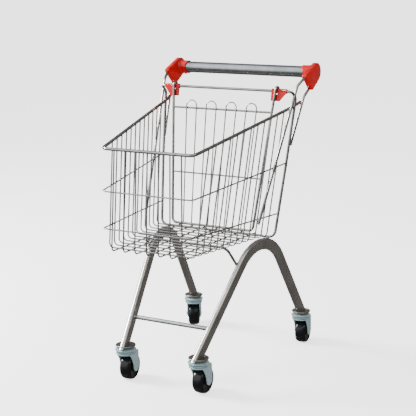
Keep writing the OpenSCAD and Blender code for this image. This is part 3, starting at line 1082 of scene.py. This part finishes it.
@dataclass
class Caster:
    """One swivel caster: the parts that turn, in the place and turn of its CAD body."""

    side: Side
    end: End
    yaw: float
    trail: float = 16.7
    wheel_r: float = 25.0
    wheel_w: float = 22.0

    @property
    def key(self) -> str:
        """Returns the ending of this caster's names."""
        return f"{self.end.name.lower()}_{self.side.name.lower()}"

    @property
    def swivel(self) -> Vector:
        """Returns the foot of the swivel axis."""
        return on_side(self.side, *SWIVELS[self.end], 0)

    def build(self, zinc: bpy.types.Material, black: bpy.types.Material) -> None:
        """Builds the wheel, the fork and the axle.

        Args:
            zinc: Finish of the steel parts.
            black: Finish of the wheel.
        """
        self._wheel(black)
        mount = Mount(
            f"caster_fork_{self.key}", f"caster_{self.key}", "zinc_steel",
            (f"fork_{self.key}",),
        )
        eased_copy(f"fork_{self.key}", mount, zinc, 0.5, 3)
        nut = Mount(
            f"hex_nut_{self.key}", f"caster_{self.key}", "zinc_steel",
            (f"axle_nut_{self.key}",),
        )
        eased_copy(f"axle_nut_{self.key}", nut, zinc, 0.3)
        bolt = Mount(
            f"axle_bolt_{self.key}", f"caster_{self.key}", "zinc_steel", (f"axle_{self.key}",)
        )
        eased_copy(f"axle_{self.key}", bolt, zinc, 0.4)

    def _wheel(self, black: bpy.types.Material) -> None:
        """Turns the wheel: crowned tread, round shoulders, dished side and a raised hub.

        Args:
            black: Its finish.
        """
        r, w = self.wheel_r, self.wheel_w / 2
        half = [
            (5.1, 0), (5.1, w - 0.5), (5.6, w), (8.6, w), (9.3, w - 0.6), (10.2, w - 2),
            (r - 7.6, w - 2.2), (r - 6.4, w - 1), (r - 5.4, w - 0.3), (r - 4.4, w),
            (r - 3.2, w - 0.3), (r - 2, w - 1.2), (r - 1.1, w - 2.5), (r - 0.5, w - 4.2),
            (r - 0.12, w - 6.6), (r - 0.03, w - 9),
        ]
        profile = half + [(rr, -z) for rr, z in reversed(half[1:])]
        work = Workpiece()
        wheel = work.turned(profile, True, 96)
        turn = (
            Matrix.Translation(self.swivel)
            @ Matrix.Rotation(math.radians(self.yaw), 4, "Z")
            @ Matrix.Translation((0, self.trail, self.wheel_r))
            @ Matrix.Rotation(math.pi / 2, 4, "Y")
        )
        work.place(wheel, turn)
        mount = Mount(
            f"tyre_{self.key}", f"wheel_{self.key}", "wheel_rubber", (f"wheel_{self.key}",)
        )
        work.finish(mount, black, 50)


def build_dishes(casters: Sequence[Caster], dull: bpy.types.Material) -> None:
    """Turns the bumper dishes round the feet.

    Args:
        casters: Casters that they stand above.
        dull: Their finish.
    """
    work = Workpiece()
    r = DISH_R
    for caster in casters:
        dish = work.turned(
            [
                (0, 0), (r - 4, 0), (r - 2, 0.3), (r - 0.6, 1.1), (r, 2.2), (r - 0.2, 3.1),
                (r - 0.9, 3.6), (r - 1.8, 3.4), (r - 2.6, 2.6), (r - 4, 1.7), (0, 1.6),
            ],
            False, 56,
        )
        work.place(dish, Matrix.Translation(caster.swivel + Vector((0, 0, DISH_Z))))
    work.finish(Mount("bumper_rings", "cart_frame", "zinc_steel", ("bumper_dishes",)), dull, 60)


# ---------------------------------------------------------------- studio


@dataclass
class Studio:
    """Plain pale floor, soft light, and a reflector dome that only glossy surfaces see."""

    floor_half: float = 40.0
    dome_r: float = 6.0
    dome_power: float = 1.9
    room_power: float = 0.9
    backdrop_power: float = 3.3
    camera_at: tuple[float, float, float] = (0.9704, -1.8170, 0.7363)
    camera_to: tuple[float, float, float] = (0.0, 0.0051, 0.304)
    lens_mm: float = 95.7
    lens_shift: float = 0.003
    floor_glow: float = 2.0

    def build(self) -> None:
        """Sets up the floor, the dome, the room's light, the lamps and the camera."""
        self._floor()
        self._dome()
        self._room()
        self._lamp("key", (-1.9, -0.7, 1.5), (0.0, 0.0, 0.3), (0.8, 0.8), 120.0)
        self._camera()

    def _floor(self) -> None:
        """Lays a wide pale floor that is not part of the object."""
        bm = bmesh.new()
        bmesh.ops.create_grid(bm, x_segments=1, y_segments=1, size=self.floor_half)
        paint = bpy.data.materials.new("matt_white_floor")
        paint.use_nodes = True
        tree = paint.node_tree
        tree.nodes.clear()
        shader = add_node(
            tree, "ShaderNodeBsdfPrincipled",
            {
                "Base Color": linear("#fdfdfd"), "Roughness": 0.9, "Specular IOR Level": 0.0,
                "Emission Color": linear("#ffffff"), "Emission Strength": self.floor_glow,
            },
        )
        add_node(tree, "ShaderNodeOutputMaterial", {"Surface": shader.outputs["BSDF"]})
        floor = self._stage_mesh("studio_floor", bm, paint)
        floor.visible_glossy = False
        floor.visible_diffuse = False

    def _dome(self) -> None:
        """Hangs the reflector dome: bright front left, dark brown behind on the right."""
        bm = bmesh.new()
        bmesh.ops.create_uvsphere(bm, u_segments=48, v_segments=24, radius=self.dome_r)
        bmesh.ops.reverse_faces(bm, faces=bm.faces)
        cloth = bpy.data.materials.new("reflector_cloth")
        cloth.use_nodes = True
        tree = cloth.node_tree
        tree.nodes.clear()
        place = add_node(tree, "ShaderNodeTexCoord").outputs["Object"]
        way = add_node(
            tree, "ShaderNodeVectorMath", {0: place}, operation="NORMALIZE"
        ).outputs["Vector"]
        main = self._towards(tree, way, (-0.5, -0.6, 0.62), -1.0, 1.0)
        cool = add_ramp(
            tree, main,
            [(0.0, "#5e5a56"), (0.3, "#55524f"), (0.42, "#83807c"), (0.5, "#5c5b5f"),
             (0.7, "#676a6d"), (0.84, "#8b8f92"), (0.93, "#eef2f6"), (1.0, "#ffffff")],
        )
        strip = self._towards(tree, way, (0.43, -0.3, 0.83), 0.86, 0.95)
        warm = add_node(
            tree, "ShaderNodeMix", {0: strip, 6: cool, 7: linear("#fff6e2")},
            data_type="RGBA",
        ).outputs[2]
        light = add_node(
            tree, "ShaderNodeEmission", {"Color": warm, "Strength": self.dome_power}
        )
        add_node(tree, "ShaderNodeOutputMaterial", {"Surface": light.outputs["Emission"]})
        dome = self._stage_mesh("reflector_dome", bm, cloth)
        for sight in ("camera", "diffuse", "shadow", "transmission", "volume_scatter"):
            setattr(dome, f"visible_{sight}", False)

    def _towards(
        self, tree: bpy.types.NodeTree, way: bpy.types.NodeSocket,
        aim: tuple[float, float, float], low: float, high: float,
    ) -> bpy.types.NodeSocket:
        """Adds nodes that tell how far a direction points towards an aim.

        Args:
            tree: Tree that takes the nodes.
            way: Unit direction.
            aim: Direction that gives 1.
            low: Cosine that gives 0.
            high: Cosine that gives 1.

        Returns:
            The value's output.
        """
        dot = add_node(
            tree, "ShaderNodeVectorMath", {0: way, 1: Vector(aim).normalized()},
            operation="DOT_PRODUCT",
        )
        return add_node(
            tree, "ShaderNodeMapRange",
            {"Value": dot.outputs["Value"], "From Min": low, "From Max": high},
        ).outputs["Result"]

    def _stage_mesh(
        self, name: str, bm: bmesh.types.BMesh, material: bpy.types.Material
    ) -> bpy.types.Object:
        """Turns a mesh into a stage object that is not part of the cart.

        Args:
            name: Name of the object.
            bm: Its mesh in metres.
            material: Its material.

        Returns:
            The object.
        """
        mesh = bpy.data.meshes.new(name)
        bm.to_mesh(mesh)
        bm.free()
        mesh.materials.append(material)
        made = bpy.data.objects.new(name, mesh)
        bpy.context.scene.collection.objects.link(made)
        return made

    def _room(self) -> None:
        """Fills the room with even white light, and shows the camera a brighter backdrop."""
        world = bpy.data.worlds.new("studio_room")
        bpy.context.scene.world = world
        world.use_nodes = True
        tree = world.node_tree
        tree.nodes.clear()
        seen = add_node(
            tree, "ShaderNodeMapRange",
            {
                "Value": add_node(tree, "ShaderNodeLightPath").outputs["Is Camera Ray"],
                "To Min": self.room_power, "To Max": self.backdrop_power,
            },
        )
        light = add_node(
            tree, "ShaderNodeBackground",
            {"Color": linear("#ffffff"), "Strength": seen.outputs["Result"]},
        )
        add_node(tree, "ShaderNodeOutputWorld", {"Surface": light.outputs["Background"]})

    def _lamp(
        self, name: str, at: tuple[float, float, float], to: tuple[float, float, float],
        size: tuple[float, float], power: float,
    ) -> None:
        """Hangs one soft rectangular light.

        Args:
            name: Name of the light.
            at: Its place in metres.
            to: Point that it faces.
            size: Its width and height.
            power: Its power in watts.
        """
        lamp = bpy.data.lights.new(name, "AREA")
        lamp.shape = "RECTANGLE"
        lamp.size, lamp.size_y = size
        lamp.energy = power
        holder = bpy.data.objects.new(name, lamp)
        holder.location = at
        aim = Vector(to) - Vector(at)
        holder.rotation_euler = aim.to_track_quat("-Z", "Y").to_euler()
        bpy.context.scene.collection.objects.link(holder)

    def _camera(self) -> None:
        """Sets the camera, front right and a little above the handle."""
        lens = bpy.data.cameras.new("camera")
        lens.sensor_width = 36.0
        lens.lens = self.lens_mm
        lens.shift_x = self.lens_shift
        lens.clip_start, lens.clip_end = 0.05, 100.0
        camera = bpy.data.objects.new("camera", lens)
        camera.location = Vector(self.camera_at)
        aim = Vector(self.camera_to) - camera.location
        camera.rotation_euler = aim.to_track_quat("-Z", "Y").to_euler()
        bpy.context.scene.collection.objects.link(camera)
        bpy.context.scene.camera = camera


# ---------------------------------------------------------------- the whole cart


def dress_nodes(finishes: dict[str, bpy.types.Material]) -> None:
    """Gives every CAD node that is still shown its finish, by its record slot.

    Args:
        finishes: Materials by the record's slot names.
    """
    slots = {p["node"]: p["material_slot"] for p in frame["record"]["subparts"]}
    for name, node in frame["nodes"].items():
        node.data.materials.clear()
        node.data.materials.append(finishes[slots[name]])
        node.data.set_sharp_from_angle(angle=STEEP)


def main() -> None:
    """Builds every sub-assembly in order."""
    logging.basicConfig(level=logging.INFO, format="%(message)s")
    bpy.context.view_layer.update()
    finishes = {
        "plated_wire": PLATED_WIRE.material(),
        "satin_tube": SATIN_TUBE.material(),
        "leg_tube": LEG_TUBE.material(),
        "zinc_steel": BLUE_ZINC.material(),
        "ball_steel": GROUND_STEEL.material(),
        "red_plastic": RED_ABS.material(),
        "black_plastic": BLACK_NYLON.material(),
        "wheel_rubber": WHEEL_POLYMER.material(),
    }
    dress_nodes(finishes)
    Basket().build(finishes["plated_wire"])
    RearFrame().build(finishes["plated_wire"])
    Gate().build(finishes["plated_wire"])
    Handle().build(finishes["satin_tube"], finishes["red_plastic"])
    for side in Side:
        Leg(side).build(finishes["leg_tube"])
        node = f"hinge_clip_{side.name.lower()}"
        mount = Mount(f"{node}_shell", "cart_frame", "red_plastic", (node,))
        eased_copy(node, mount, finishes["red_plastic"], 0.7, 3)
    casters = [
        Caster(Side.LEFT, End.FRONT, 6.5), Caster(Side.RIGHT, End.FRONT, 1.0),
        Caster(Side.LEFT, End.REAR, 23.5), Caster(Side.RIGHT, End.REAR, 6.5),
    ]
    for caster in casters:
        caster.build(finishes["zinc_steel"], finishes["wheel_rubber"])
    build_dishes(casters, DULL_ZINC.material())
    Studio().build()
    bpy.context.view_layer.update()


if __name__ == "__main__":
    main()
